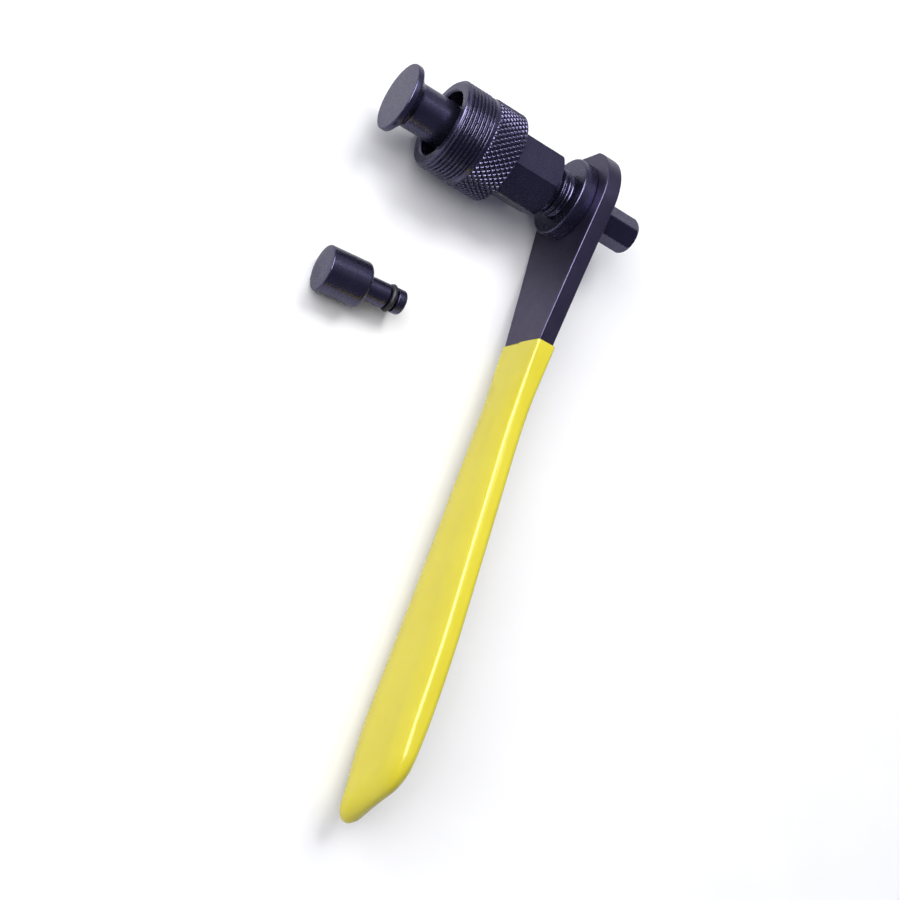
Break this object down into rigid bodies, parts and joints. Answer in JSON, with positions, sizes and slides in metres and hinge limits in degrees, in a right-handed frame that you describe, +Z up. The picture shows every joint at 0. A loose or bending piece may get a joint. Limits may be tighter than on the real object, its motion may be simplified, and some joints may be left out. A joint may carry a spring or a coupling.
{
  "type": "crank extractor",
  "caption": "Screw-driven bicycle crank puller with a knurled sleeve, swivelling press foot, lever handle with dipped grip, and a narrow spare foot.",
  "frame": {"origin": "on the drive screw's axis, at the back end of the sleeve's M22 thread", "axes": "+X along the drive screw from the press foot to the hex tail, -Y down the lever to the end of its grip, +Z up with the lever standing on its long edge"},
  "size_m": [0.0675, 0.163, 0.0268],
  "materials": {
    "black_steel": "black oxide, satin",
    "black_plate": "black oxide on pressed steel plate, satin",
    "yellow_grip": "dipped soft plastic, glossy",
    "black_rubber": "matte"
  },
  "bodies": {
    "sleeve": {"extractor_sleeve": "black_steel"},
    "foot": {"press_foot": "black_steel", "press_foot_seal_ring": "black_rubber"},
    "handle": {"drive_screw": "black_steel", "lever_plate": "black_plate", "handle_grip": "yellow_grip"},
    "spare_foot": {"spare_press_foot": "black_steel", "spare_foot_seal_ring": "black_rubber"}
  },
  "joints": [
    {"name": "foot_travel", "type": "slide", "parent": "sleeve", "child": "foot", "axis": [1, 0, 0], "range_m": [-0.0047, 0.0106]},
    {"name": "handle_turn", "type": "hinge", "parent": "foot", "child": "handle", "pos_m": [0, 0, 0], "axis": [1, 0, 0], "range_deg": [-1125, 2520]},
    {"name": "spare_foot_lift", "type": "slide", "parent": "sleeve", "child": "spare_foot", "axis": [0, 0, 1], "range_m": [0, 0.03]}
  ],
  "couplings": [
    {"joint": "foot_travel", "follows": "handle_turn", "m_per_rad": 0.00023873}
  ]
}
